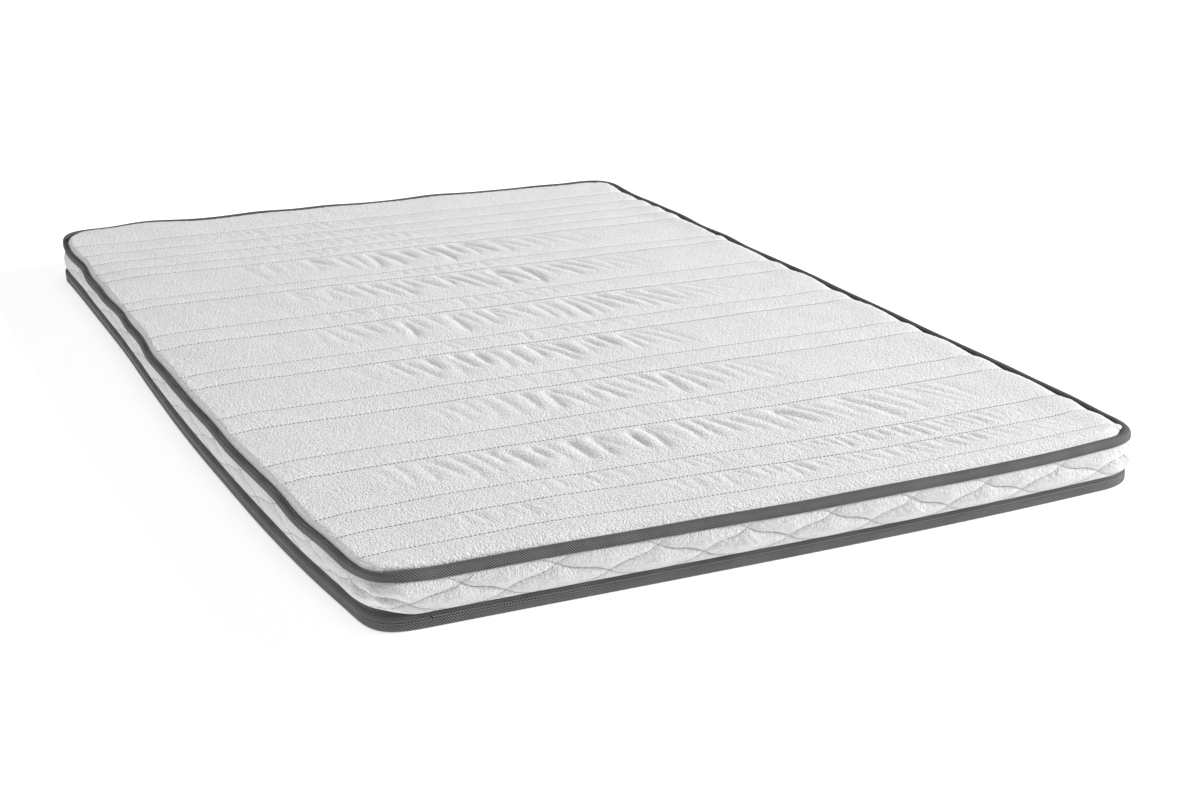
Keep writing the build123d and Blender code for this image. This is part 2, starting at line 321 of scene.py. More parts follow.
def band(name, section):
    """A closed band: a section, as (inset, height) pairs going up the outside, carried all the way round."""
    if section.ndim == 2:
        section = np.broadcast_to(section, (len(RIM), *section.shape))
    points = around(section)
    rows, columns = points.shape[:2]
    quads = grid_quads(rows, columns, 0, True, True)[:, ::-1]
    width = np.linalg.norm(np.diff(np.concatenate([section[0], section[0][:1]]), axis=0), axis=1)
    v = np.concatenate([[0], np.cumsum(width)])
    u = np.append(RIM_AT, RIM_LENGTH)
    u0, u1 = np.repeat(u[:-1], columns), np.repeat(u[1:], columns)
    v0, v1 = np.tile(v[:-1], rows), np.tile(v[1:], rows)
    uvs = np.stack([u1, v0, u1, v1, u0, v1, u0, v0], axis=1)
    return build_mesh(name, points.reshape(-1, 3), quads, uvs)


def vary(low, high, share):
    """A section that goes from one shape to another as share, one value per step, goes from 0 to 1."""
    return low[None] + (high - low)[None] * share[:, None, None]


# %% Stitches
def beads(name, centre, tangent, normal, length, width, material, node_names, rise=0.0):
    """Many small spindles, such as stitches or coil turns: one at each centre, along its tangent."""
    side = np.cross(normal, tangent)
    stations = np.array([-0.5, -0.28, 0.28, 0.5])
    swell = np.array([0.35, 1.0, 1.0, 0.35])
    arch = np.array([-0.55, 0.25, 0.25, -0.55])
    turns = np.arange(4) * math.pi / 2 + math.pi / 4
    rings = []
    for place, size, lift in zip(stations, swell, arch):
        middle = centre + tangent * (place * length) + normal * (lift * width + rise)
        for turn in turns:
            rings.append(middle + (normal * math.sin(turn) + side * math.cos(turn)) * (size * width * 0.6))
    points = np.stack(rings, axis=1)
    one = []
    for ring in range(3):
        for k in range(4):
            a, b = ring * 4 + k, ring * 4 + (k + 1) % 4
            one.append((a, b, b + 4, a + 4))
    one += [(3, 2, 1, 0), (12, 13, 14, 15)]
    quads = (np.array(one)[None] + np.arange(len(centre))[:, None, None] * 16).reshape(-1, 4)
    piece = build_mesh(name, points.reshape(-1, 3), quads)
    return finish_piece(piece, material, node_names)


def every(path, pitch, closed=False):
    """Evenly spaced places on a path, with the tangent at each."""
    if closed:
        path = np.concatenate([path, path[:1]])
    steps = np.linalg.norm(np.diff(path, axis=0), axis=1)
    total = np.concatenate([[0], np.cumsum(steps)])
    places = (np.arange(int(total[-1] / pitch)) + 0.5) * pitch
    centre = np.stack([np.interp(places, total, path[:, k]) for k in range(3)], axis=1)
    ahead = np.stack([np.interp(places + pitch / 4, total, path[:, k]) for k in range(3)], axis=1)
    behind = np.stack([np.interp(places - pitch / 4, total, path[:, k]) for k in range(3)], axis=1)
    tangent = ahead - behind
    return centre, tangent / np.maximum(np.linalg.norm(tangent, axis=1, keepdims=True), 1e-9)


# %% [markdown]
# ## Shader sums
#
# A procedural cloth is mostly arithmetic on coordinates. Written with nodes by hand that is hard to
# read, so a small class wraps a socket: adding or multiplying two of them adds a Math node, and the
# recipe below it adds any other node by its type.

# %% A socket that does arithmetic
class Yarn:
    """A number socket of a material, which can be used in sums."""

    def __init__(self, recipe, socket):
        self.recipe, self.socket = recipe, socket

    def sum(self, operation, *values):
        return self.recipe.node("ShaderNodeMath", {"operation": operation}, dict(enumerate(values)))

    def __add__(self, other):
        return self.sum("ADD", self, other)

    def __sub__(self, other):
        return self.sum("SUBTRACT", self, other)

    def __rsub__(self, other):
        return self.sum("SUBTRACT", other, self)

    def __mul__(self, other):
        return self.sum("MULTIPLY", self, other)

    def __truediv__(self, other):
        return self.sum("DIVIDE", self, other)

    __radd__ = __add__
    __rmul__ = __mul__

    def sine(self):
        return self.sum("SINE", self)

    def between(self, low, high):
        """0 at low and below, 1 at high and above."""
        values = {"Value": self, "From Min": low, "From Max": high}
        return self.recipe.node("ShaderNodeMapRange", {"clamp": True}, values)


class Recipe:
    """One material, built node by node."""

    def __init__(self, name):
        self.material = bpy.data.materials.new(name)
        self.material.use_nodes = True
        self.tree = self.material.node_tree
        self.tree.nodes.clear()
        self.output = self.tree.nodes.new("ShaderNodeOutputMaterial")

    def node(self, kind, settings=None, values=None, out=0):
        made = self.tree.nodes.new(kind)
        for name, value in (settings or {}).items():
            setattr(made, name, value)
        for name, value in (values or {}).items():
            socket = made.inputs[name]
            if isinstance(value, Yarn):
                self.tree.links.new(value.socket, socket)
            else:
                socket.default_value = value
        return Yarn(self, made.outputs[out])

    def place(self, size=1.0):
        """The point in the mattress's own frame, divided by size."""
        where = self.node("ShaderNodeTexCoord", out="Object")
        scale = {"Vector": where, "Scale": 1 / size}
        return self.node("ShaderNodeVectorMath", {"operation": "SCALE"}, scale)

    def parts(self, vector):
        """The x, y and z of a vector."""
        split = self.node("ShaderNodeSeparateXYZ", None, {"Vector": vector})
        outputs = split.socket.node.outputs
        return [Yarn(self, outputs[k]) for k in range(3)]

    def cloud(self, vector, scale, detail=2.0, roughness=0.5):
        values = {"Vector": vector, "Scale": scale, "Detail": detail, "Roughness": roughness}
        return self.node("ShaderNodeTexNoise", {"noise_dimensions": "3D"}, values)

    def blend(self, share, first, second):
        """From one colour to another as share goes from 0 to 1."""
        values = {"Factor": share, "A": first, "B": second}
        return self.node("ShaderNodeMix", {"data_type": "RGBA"}, values, "Result")

    def bump(self, height, strength, distance):
        values = {"Height": height, "Strength": strength, "Distance": distance}
        return self.node("ShaderNodeBump", None, values, "Normal")

    def surface(self, color, rough, normal=None, **fixed):
        values = {"Base Color": color, "Roughness": rough}
        values.update({name.replace("_", " "): value for name, value in fixed.items()})
        if normal is not None:
            values["Normal"] = normal
        shader = self.node("ShaderNodeBsdfPrincipled", None, values, "BSDF")
        self.tree.links.new(shader.socket, self.output.inputs["Surface"])
        return self.material


def grey(value, warm=0.0):
    """A near-neutral colour."""
    return (value * (1 + warm), value, value * (1 - warm), 1)


# %% [markdown]
# ## Cloths
#
# The cover is a stretch knit with a pebbled face: small raised cells, a couple of millimetres
# across, that catch the light as grain. The tapes are twill: fine diagonal ribs with a slight
# sheen, and painted shade along their edges, where they tuck under other parts and run into the
# crevices. All the patterns are sums of noise, cells and waves, in millimetres.

# %% The knit
def knit_material(name, tone):
    """Pebbled knit: cells and two sizes of grain, in both the colour and the bump."""
    r = Recipe(name)
    where = r.place(MM)
    cells = r.node("ShaderNodeTexVoronoi", {"feature": "SMOOTH_F1"},
                   {"Vector": where, "Scale": 0.30, "Smoothness": 0.5, "Randomness": 0.9})
    grain = r.cloud(where, 0.33, 2.0, 0.6)
    broad = r.cloud(where, 0.012, 2.0)
    blotch = r.cloud(where, 0.15, 2.0, 0.6)
    pebble = (1 - cells) * 0.9 + grain * 0.9 + blotch
    shade = (cells.between(0.15, 0.7) * 0.32 + grain.between(0.38, 0.66) * 0.32
             + blotch.between(0.36, 0.66) * 0.30 + broad.between(0.3, 0.7) * 0.06)
    color = r.blend(shade, grey(tone * 1.18), grey(tone * 0.80))
    rough = 0.86 + grain * 0.1
    return r.surface(color, rough, r.bump(pebble, 0.7, 2.4 * MM), Sheen_Weight=0.2, Sheen_Roughness=0.6,
                     Specular_IOR_Level=0.2)


# %% Twill tapes
def twill_material(name, tone, rib, slant=1.0):
    """Slanted ribs, rib mm apart, over the tape's own length (u) and width (v)."""
    r = Recipe(name)
    where = r.node("ShaderNodeUVMap", {"uv_map": "UVMap"})
    u, v, _ = r.parts(where)
    u, v = u / MM, v / MM
    cloud = r.cloud(r.place(MM), 0.02, 2.0)
    fine = r.cloud(r.place(MM), 1.3, 2.0)
    rib_wave = ((u + v * slant) * (2 * math.pi / rib)).sine() * 0.5 + 0.5
    yarn_wave = ((u - v * slant) * (2 * math.pi / (rib * 0.45))).sine() * 0.5 + 0.5
    weave = rib_wave * 0.8 + yarn_wave * 0.15 + fine * 0.2
    # painted shade: the tape is darkest on the first 2.2 mm of its section and half as dark from 26 mm on,
    # where it tucks under other parts and runs into the crevices
    edge = v.between(2.2, 4.2) * (1 - v.between(26, 31) * 0.5)
    tint = (weave.between(0.3, 0.9) * 0.85 + cloud.between(0.3, 0.7) * 0.15) * edge
    color = r.blend(tint, grey(tone * 0.12), grey(tone * 2.5))
    rough = 0.62 + fine * 0.2
    return r.surface(color, rough, r.bump(weave, 0.8, 1.0 * MM), Sheen_Weight=0.05, Sheen_Roughness=0.5,
                     Specular_IOR_Level=0.2)


# %% Threads, wadding, foams and underside
def thread_material(name, tone):
    """Twisted yarn."""
    r = Recipe(name)
    where = r.place(MM)
    twist = r.cloud(where, 2.5, 1.0)
    color = r.blend(twist, grey(tone * 0.8), grey(tone * 1.2))
    return r.surface(color, 0.55 + twist * 0.2, r.bump(twist, 0.3, 0.2 * MM), Sheen_Weight=0.2)


def fibre_material(name, tone):
    """Loose or bonded fibres."""
    r = Recipe(name)
    where = r.place(MM)
    strands = r.cloud(where, 0.5, 4.0, 0.7)
    color = r.blend(strands.between(0.3, 0.7), grey(tone * 0.9), grey(tone))
    return r.surface(color, 0.9 + strands * 0.05, r.bump(strands, 0.5, 1.0 * MM), Sheen_Weight=0.3)


def foam_material(name, tone, warm, cell):
    """Foam with pores of about cell mm."""
    r = Recipe(name)
    where = r.place(MM)
    pores = r.node("ShaderNodeTexVoronoi", {"feature": "F1"}, {"Vector": where, "Scale": 1 / cell})
    cloud = r.cloud(where, 0.05, 2.0)
    color = r.blend(pores.between(0.1, 0.6) * 0.7 + cloud * 0.3, grey(tone * 0.82, warm), grey(tone, warm))
    return r.surface(color, 0.85 + pores * 0.1, r.bump(pores, 0.5, 0.5 * MM))


def underside_material(name, tone):
    """Plain weave with rows of raised grip dots."""
    r = Recipe(name)
    where = r.place(MM)
    x, y, _ = r.parts(where)
    dots = (x * (2 * math.pi / 9)).sine() * (y * (2 * math.pi / 9)).sine()
    raised = dots.between(0.45, 0.7)
    weave = (x * (2 * math.pi / 1.1)).sine() * 0.5 + (y * (2 * math.pi / 1.1)).sine() * 0.5
    color = r.blend(raised * 0.8 + weave.between(-1, 1) * 0.2, grey(tone), grey(tone * 0.72))
    return r.surface(color, 0.85 - raised * 0.3, r.bump(raised + weave * 0.2, 0.5, 0.6 * MM))


def metal_material(name, tone):
    """Enamelled metal, a little worn."""
    r = Recipe(name)
    where = r.place(MM)
    wear = r.cloud(where, 0.8, 3.0)
    color = r.blend(wear.between(0.45, 0.75), grey(tone), grey(tone * 1.6))
    return r.surface(color, 0.32 + wear * 0.2, r.bump(wear, 0.1, 0.1 * MM), Metallic=0.6, Coat_Weight=0.3)


COVER = knit_material("cover_knit", 0.80)
# painted shade: the border's copy of the knit is coloured darker than the top's (0.655 against 0.80), so the
# sides come out shaded
SHADED_BORDER_COVER = knit_material("border_cover_knit_shaded", 0.655)
TAPE = twill_material("binding_tape", 0.082, 4.3)
ZIP_TAPE = twill_material("zip_tape", 0.07, 2.2)
QUILT_THREAD = thread_material("quilting_thread", 0.13)
BORDER_THREAD = thread_material("border_thread", 0.30)
TAPE_THREAD = thread_material("binding_thread", 0.10)
LOWER_THREAD = thread_material("lower_thread", 0.32)
WADDING = fibre_material("wadding", 0.93)
SCRIM = fibre_material("scrim", 0.88)
MEMORY_FOAM = foam_material("memory_foam", 0.90, 0.03, 0.8)
SUPPORT_FOAM = foam_material("support_foam", 0.88, 0.0, 1.4)
UNDERSIDE = underside_material("underside_cloth", 0.60)
# painted highlight: the coil turns are coloured a light grey, far lighter than the zip tape, to stand for the
# glints along them
COIL = thread_material("zip_coil", 0.36)
METAL = metal_material("zip_metal", 0.16)
print("materials:", len(bpy.data.materials))

# %% [markdown]
# ## The quilted top
#
# Eighteen lines of stitches cross the panel, in a rhythm of narrow and wide channels. Each line
# pulls the knit down into a groove, and the wadding puffs between lines. The machine also gathers
# the knit along each line, so the channels pucker. The eye reads the sharp creases between the
# puckers rather than the puckers, so the creases are what is cut here: each runs across its channel
# at a slant, ends close to the line nearer the head, and fades towards the foot. Their stretches
# are set channel by channel, and each crease is drawn at random from one seed.

# %% Quilting lines
CHANNELS = np.array((70, 80, 75, 155, 80, 160, 75, 165, 75, 170, 80, 185, 50, 170, 60, 70, 70, 80, 120)) * MM
LINES = np.concatenate([[0], np.cumsum(CHANNELS)]) / CHANNELS.sum() * 2 - 1
WIDE = 120 * MM
PANEL_EDGE = 14.5 * MM
EDGE_HEIGHT = 84.0 * MM
GROOVE_HEIGHT = 92.5 * MM
SHOULDER = 52 * MM
CREASE_DEPTH = 1.9  # mm for each unit of depth below

# where the creases are: channel, from and to (mm from the left edge), pitch (mm), depth
CREASES = (
    (0, 140, 420, 26, 1.4), (0, 640, 1330, 26, 2.0), (1, 140, 350, 26, 1.6), (1, 520, 1320, 26, 2.2),
    (2, 300, 760, 27, 1.3), (2, 800, 1290, 25, 2.3), (3, 150, 1260, 34, 2.9), (4, 330, 1120, 28, 0.9),
    (5, 330, 1000, 33, 2.6), (6, 300, 900, 28, 0.8), (7, 290, 960, 34, 2.8), (8, 280, 1020, 28, 1.0),
    (9, 280, 1190, 35, 2.8), (10, 280, 1020, 28, 1.1), (11, 330, 1120, 35, 3.1), (12, 540, 910, 27, 1.2),
    (13, 300, 1100, 37, 2.8), (14, 300, 1000, 28, 1.0), (15, 300, 850, 25, 1.2), (16, 300, 800, 25, 1.2),
    (17, 280, 820, 26, 1.1), (18, 260, 700, 30, 1.0),
)

# how far the right end of each line leans towards the head, as (line, mm)
LEAN = ((0, 0), (1, -24), (2, -29), (3, -20), (4, -14), (5, -6), (7, -4), (9, 0), (19, 0))


def channel_rows():
    """The rows of the grid, as channel number and share of the way across it, denser at the lines."""
    rows = []
    for number, width in enumerate(CHANNELS):
        count = int(width / (4.2 * MM)) + 3
        t = np.arange(count) / count
        eased = 0.5 * t + 0.25 * (1 - np.cos(math.pi * t))
        rows += [(number, share) for share in eased]
    rows.append((len(CHANNELS) - 1, 1.0))
    return np.array(rows)


def creases(x, share, channel):
    """The height, zero or less, that the creases give at x and share of the way to the head."""
    height = np.zeros_like(x)
    dice = np.random.RandomState(21)
    for number, start, end, pitch, size in CREASES:
        inside = channel == number
        here, t = x[inside], share[inside]
        total = np.zeros_like(here)
        centre = start + pitch * 0.5
        while centre < end:
            middle = centre * MM - HALF_WIDTH
            fade = min(1, 0.3 + 3 * min(centre - start, end - centre) / (end - start))
            deep = CREASE_DEPTH * size * MM * dice.uniform(0.5, 1.15) * fade
            slant = dice.uniform(-0.10, 0.34) + 0.25 * smooth(-0.1, 0.5, middle)
            curl = dice.uniform(0.0, 0.10)
            foot, head = dice.uniform(0.02, 0.35), dice.uniform(0.90, 1.02)
            line = middle + CHANNELS[number] * (slant * (0.5 - t) - curl * (2 * t - 1) ** 2)
            side = (here - line) / (pitch * MM * dice.uniform(0.6, 0.85))
            cusp = np.clip(1 - np.abs(side), 0, 1) ** np.where(side > 0, 2.3, 1.9)
            total -= deep * cusp * smooth(foot, foot + 0.3, t) * (1 - smooth(head - 0.16, head, t))
            centre += pitch * dice.uniform(0.75, 1.25)
        height[inside] += total
    return height


# %% The height of the panel
def panel_surface(rows, across, inset, drop):
    """The panel's points for its grid rows: the face with no drop, or a layer under it."""
    channel, share = rows[:, 0].astype(int), rows[:, 1]
    along = LINES[channel] + (LINES[channel + 1] - LINES[channel]) * share
    x, y = plan_points(across, along, inset)
    share = np.broadcast_to(share[:, None], x.shape)
    channel = np.broadcast_to(channel[:, None], x.shape)
    depth = np.clip(plan_inset(x, y) - PANEL_EDGE, 0, None)
    full = np.sqrt(np.clip(4 * share * (1 - share), 0, 1))
    # the panel rolls over at its edge, tighter on the left than elsewhere
    on_left = smooth(0.25, 0.55, -x)
    rise = np.clip(depth / (SHOULDER * (1.35 - 0.8 * full)), 0, 1)
    tight = np.clip(depth / (SHOULDER * (0.16 - 0.05 * full)), 0, 1)
    shoulder = np.sqrt(1 - (1 - rise) ** 2.4) * (1 - on_left) + np.sqrt(1 - (1 - tight) ** 2.6) * on_left
    inward = 0.85 + 0.15 * smooth(0, 60 * MM, depth)
    # the wadding puffs between the lines, and the knit over it is lumpy, gathered and creased
    wide = np.minimum(CHANNELS[channel] / WIDE, 1)
    puff = (2.2 + 2.4 * wide) * MM * (4 * share * (1 - share)) ** 0.55
    lumps = ripples(x, y, 0.11, 3) * 0.5 * MM + ripples(x, y, 0.35, 4) * 0.7 * MM
    gather = ripples(x, y, 0.018, 6) * 0.5 * MM * (1 - smooth(8 * MM, 40 * MM, depth))
    fold = creases(x, share, channel) * smooth(20 * MM, 120 * MM, depth)
    patches = smooth(0.1, 1.1, ripples(x, y, 0.4, 18) + 0.5)
    fold = fold + ripples(x + 0.35 * y, y * 0.12, 0.013, 17) * 0.22 * MM * patches
    low = EDGE_HEIGHT - 1.5 * MM * on_left
    z = low + (GROOVE_HEIGHT - low) * shoulder
    z = z + (puff * inward + fold + gather) * np.minimum(rise * 4, 1) + lumps * rise - drop
    # the lines wander, and hook towards the foot where they meet the left edge
    hook = -9 * MM * (1 - smooth(0, 55 * MM, depth)) * on_left
    ends = np.minimum(smooth(0, 40 * MM, y + HALF_LENGTH - PANEL_EDGE),
                      smooth(0, 40 * MM, HALF_LENGTH - PANEL_EDGE - y))
    x = x - 4.2 * MM * on_left * (1 - smooth(0, 40 * MM, depth)) * smooth(0, 60 * MM, HALF_LENGTH - np.abs(y))
    return soften(np.stack([x, y + (line_sway(x, channel, share) + hook) * ends, z], axis=-1))


def line_sway(x, channel, share):
    """How far the quilting lines wander and lean towards the head, each in its own way."""
    def one(number):
        held = (number == 0) | (number == len(CHANNELS))
        lean = np.interp(number, *zip(*LEAN)) * MM * smooth(-0.45, 0.35, x)
        sway = ripples(x, number * 0.37, 0.45, 12) * 2.2 * MM + ripples(x, number * 0.9, 1.3, 13) * 2.5 * MM
        return np.where(held, 0, sway + lean)
    return one(channel) * (1 - share) + one(channel + 1) * share


ROWS = channel_rows()
ACROSS = spread(4 * MM, HALF_WIDTH, 66 * MM, 2.6 * MM)
KNIT = 1.4 * MM
face = panel_surface(ROWS, ACROSS, PANEL_EDGE, 0)
back = panel_surface(ROWS, ACROSS, PANEL_EDGE + KNIT, KNIT)
top_cloth = closed_panel("quilted_top", face, back)
finish_piece(top_cloth, COVER, ["top_panel_knit"])
print("top panel:", face.shape[0], "by", face.shape[1], "points; highest",
      round(float(face[..., 2].max()), 4))

# %% [markdown]
# ### Wadding and scrim
#
# Under the knit lies fibre wadding, and under that the non-woven that the stitches lock into.
# Nobody sees them in the finished mattress, but they are what makes the channels puff.

# %% Layers under the knit
wadding_rows = ROWS[::3] if len(ROWS) % 3 == 1 else np.vstack([ROWS[::3], ROWS[-1:]])
wadding_across = spread(16 * MM, HALF_WIDTH, 66 * MM, 8 * MM)
wadding_top = panel_surface(wadding_rows, wadding_across, PANEL_EDGE + 3 * KNIT, 3.2 * KNIT)
wadding_low = wadding_top.copy()
wadding_low[..., 2] = FOAM_TOP + 0.8 * MM
wadding_top[..., 2] = np.maximum(wadding_top[..., 2], FOAM_TOP + 1.4 * MM)
top_wadding = closed_panel("top_wadding", wadding_top, wadding_low)
finish_piece(top_wadding, WADDING, ["top_panel_wadding"])
top_scrim = flat_layer("top_scrim", PANEL_EDGE + 2 * KNIT, FOAM_TOP + 0.1 * MM, FOAM_TOP + 0.6 * MM)
finish_piece(top_scrim, SCRIM, ["top_panel_scrim"])

# %% Quilting stitches
STITCH_PITCH = 7.4 * MM
line_rows = [k for k in range(1, len(ROWS)) if ROWS[k, 1] == 0]
stitched = [every(face[k, 2:-2], STITCH_PITCH) for k in line_rows]
centres, tangents = (np.concatenate([line[k] for line in stitched]) for k in range(2))
upward = np.cross(tangents, np.cross(np.array([0, 0, 1.0]), tangents))
upward /= np.linalg.norm(upward, axis=1, keepdims=True)
beads("quilting_stitches", centres, tangents, upward, 4.9 * MM, 1.2 * MM, QUILT_THREAD,
      ["top_quilting_thread"], rise=0.35 * MM)
print("quilting stitches:", len(centres))

# %% [markdown]
# ## The border
#
# The side strip is the same knit over thinner wadding, quilted in an ogee net: rows of lens shapes
# whose sides are shared, with a small flat place where four of them meet. The net is two families
# of wavy lines that cross at the nodes, and the cloth stands out by how far it is from both.

# %% The ogee net
BORDER_LOW, BORDER_HIGH = 24.0 * MM, 76.5 * MM
NODE_ROW, NODE_RISE = 39.5 * MM, 26 * MM
LENSES = round(RIM_LENGTH / (154 * MM))
LENS_PITCH = RIM_LENGTH / LENSES
FIRST_NODE = -34 * MM


def net(at, height):
    """Two numbers that are whole on the two families of quilting lines."""
    u = (at - FIRST_NODE) / LENS_PITCH + 0.035 * np.sin(at * 7.1 + 1) + 0.02 * np.sin(at * 13.7)
    v = (height - NODE_ROW) / NODE_RISE + 0.06 * np.sin(at * 9.3)
    curl = 0.09 * np.sin(4 * math.pi * u)
    return (v - curl) / 2 - u, (v + curl) / 2 + u


def border_out(at, height):
    """How far the border cloth stands out from its seams."""
    rising, falling = net(at, height)
    pillow = np.abs(np.sin(math.pi * rising) * np.sin(math.pi * falling)) ** 0.46
    t = np.clip((height - BORDER_LOW) / (BORDER_HIGH - BORDER_LOW), 0, 1)
    belly = (4 * t * (1 - t)) ** 0.7
    drag = np.sin(2 * math.pi * (at * 0.8 + height * 0.9) / (13 * MM) + 3 * np.sin(at * 11))
    drag = drag * smooth(0.15, 0.9, ripples(at, height, 0.16, 31)) * pillow
    corner = np.sin(2 * math.pi * (at + 0.6 * height) / (38 * MM)) * 1.6 * MM * AT_CORNER[:, None]
    # the strip is flatter along the left side
    full = 1 - 0.8 * smooth(0.55, 0.67, -RIM[:, 0:1]) * smooth(0, 0.15, RIM[:, 1:2] + HALF_LENGTH - 60 * MM)
    stand = 3.4 * MM * full + pillow * 8.6 * MM * (0.4 + 0.6 * full) + drag * 0.8 * MM
    return belly * (stand + corner - 2 * MM * (1 - full))


# %% Border pieces
BORDER_INSET = 3.2 * MM
BORDER_STEPS = 32
border_height = np.linspace(BORDER_LOW, BORDER_HIGH, BORDER_STEPS)
border_at, border_z = np.meshgrid(RIM_AT, border_height, indexing="ij")
# on the left the flap stands higher, so the strip's lower edge does too
left_rise = 11 * MM * AT_LEFT[:, None] * (1 - smooth(BORDER_LOW, BORDER_HIGH, border_z))
border_face = BORDER_INSET - border_out(border_at, border_z) - 1.2 * MM * AT_LEFT[:, None]
border_path = np.stack([border_face, border_z + left_rise], axis=-1)
# the way back down behind the face needs only every fourth point
border_back = np.stack([np.full_like(border_z, BORDER_INSET + KNIT), border_z + left_rise], axis=-1)[:, ::-4]
border_cloth = band("border_cloth", np.concatenate([border_path, border_back], axis=1))
finish_piece(border_cloth, SHADED_BORDER_COVER, ["border_knit"])


def plain_band(name, outer, inner, low, high, material, node):
    """A band with a plain oblong section, for the layers nobody sees."""
    section = np.array([(outer, low), (outer, (low + high) / 2), (outer, high), (inner, high), (inner, low)])
    return finish_piece(band(name, section), material, [node])


PAD_LOW = 28 * MM
border_wadding = plain_band("border_wadding_strip", BORDER_INSET + 1.6 * MM, 10.9 * MM, PAD_LOW, FOAM_TOP,
                            WADDING, "border_wadding")
border_scrim = plain_band("border_scrim_strip", 11.1 * MM, 11.8 * MM, PAD_LOW, FOAM_TOP, SCRIM,
                          "border_scrim")


# %% Border stitches
def on_border(at, height):
    """Points on the border's face, and the outward directions there."""
    grid = around(border_path)
    i = np.interp(np.mod(at, RIM_LENGTH), np.append(RIM_AT, RIM_LENGTH), np.arange(len(RIM_AT) + 1))
    j = np.clip((height - BORDER_LOW) / (BORDER_HIGH - BORDER_LOW), 0, 0.9999) * (BORDER_STEPS - 1)
    i0, j0 = i.astype(int), j.astype(int)
    i1 = (i0 + 1) % len(RIM_AT)
    i0 = i0 % len(RIM_AT)
    fi, fj = (i - np.floor(i))[:, None], (j - j0)[:, None]
    low = grid[i0, j0] * (1 - fi) + grid[i1, j0] * fi
    high = grid[i0, j0 + 1] * (1 - fi) + grid[i1, j0 + 1] * fi
    outward = RIM_NORMAL[i0] * (1 - fi) + RIM_NORMAL[i1] * fi
    return low * (1 - fj) + high * fj, np.concatenate([outward, 0 * fi], axis=1)


def net_lines(count=40):
    """The net's lines, as places round the outline at heights from seam to seam."""
    heights = np.linspace(BORDER_LOW + 2 * MM, BORDER_HIGH - 2.5 * MM, count)
    at = np.linspace(-0.5, RIM_LENGTH + 0.5, 9000)
    lines = []
    for family, order in ((0, -1), (1, 1)):
        values = [net(at, h)[family][::order] for h in heights]
        whole = np.arange(math.ceil(min(v[0] for v in values)), math.floor(max(v[-1] for v in values)))
        places = np.stack([np.interp(whole, v, at[::order]) for v in values], axis=1)
        middle = places[:, count // 2]
        lines += [(place, heights) for place in places[(middle >= 0) & (middle < RIM_LENGTH)]]
    return lines


border_rows = []
for place, heights in net_lines():
    path, outward = on_border(place, heights)
    centre, tangent = every(path, 4.6 * MM)
    share = np.linspace(0, len(path) - 1, len(centre)).astype(int)
    border_rows.append((centre, tangent, outward[share]))
centres, tangents, normals = (np.concatenate([row[k] for row in border_rows]) for k in range(3))
beads("border_stitches", centres, tangents, normals, 3.4 * MM, 0.9 * MM, BORDER_THREAD,
      ["border_quilting_thread"], rise=0.1 * MM)
print("border lines:", len(border_rows), "stitches:", len(centres))

# %% [markdown]
# ## Tapes and the zip
#
# Both binding tapes are folded strips. The upper one wraps the seam between border and top panel:
# up the outside, over, and down into the crevice beside the panel. The lower one comes out from
# under the mattress and up to the zip, whose own upper tape hangs over the coil as a flap. At the
# head the flap and the tape draw back, so that the slider has its track. On the left side the flap
# stands higher and the upper tape is narrower. A tape is a section of (inset, height) pairs in
# millimetres, blended into another one along a side where it differs.

# %% Upper tape
TAPE_THICKNESS = 1.3 * MM
ZIP_TAPE_THICKNESS = 0.8 * MM
UPPER_TAPE = np.array([
    (2.6, 75.3), (0.4, 75.6), (-0.6, 77.5), (-0.9, 81.5), (-0.3, 86.5), (1.6, 90.2), (5, 91.6),
    (9.5, 91.2), (13, 89), (14.8, 86.2)
]) * MM
UPPER_TAPE_AT_LEFT = np.array([
    (2.6, 75.3), (0.4, 75.6), (-0.6, 77.5), (-0.9, 81.0), (-0.6, 85.0), (0.7, 88.0), (3.0, 88.8),
    (6.0, 87.2), (8.6, 84.4), (9.6, 82.0)
]) * MM
upper_path = vary(along_curve(UPPER_TAPE, 18), along_curve(UPPER_TAPE_AT_LEFT, 18), AT_LEFT)
upper_tape = band("upper_tape", folded(upper_path, TAPE_THICKNESS))
finish_piece(upper_tape, TAPE, ["upper_binding_tape"])

# %% Lower tape and the zip's tapes
LOWER_TAPE = np.array([
    (18, 0.25), (10, 0.2), (3.2, 0.25), (1.2, 1.3), (0.4, 4), (0.3, 8.5), (0.8, 12.5), (1.3, 14.7),
    (2.6, 15.4), (5.4, 14.8)
]) * MM
LOWER_TAPE_AT_HEAD = np.array([
    (18, 0.25), (10, 0.2), (3.2, 0.25), (1.4, 1.2), (0.7, 3), (0.55, 6.5), (0.6, 9.5), (1.3, 12.3),
    (2.6, 12.9), (5.6, 12.4)
]) * MM
FLAP = np.array([
    (5.2, 18.1), (2.9, 18.2), (1.8, 18.8), (1.3, 20.5), (1.2, 22.5), (1.9, 24.4), (4.2, 26.0), (4.9, 33)
]) * MM
FLAP_AT_HEAD = np.array([
    (6.2, 18.3), (6.2, 18.8), (6.2, 19.6), (6.2, 21), (6.1, 22.5), (5.4, 24.4), (4.6, 26.4), (4.9, 33)
]) * MM
FLAP_AT_LEFT = np.array([
    (4.2, 16.2), (2.0, 16.0), (0.7, 16.8), (0.2, 19.5), (0.5, 23.5), (2.2, 26.5), (4.0, 29.5), (4.6, 40)
]) * MM
lower_path = vary(along_curve(LOWER_TAPE, 18), along_curve(LOWER_TAPE_AT_HEAD, 18), AT_HEAD)
lower_tape = band("lower_tape", folded(lower_path, TAPE_THICKNESS))
finish_piece(lower_tape, TAPE, ["lower_binding_tape"])
flap = vary(along_curve(FLAP, 16), along_curve(FLAP_AT_HEAD, 16), AT_HEAD)
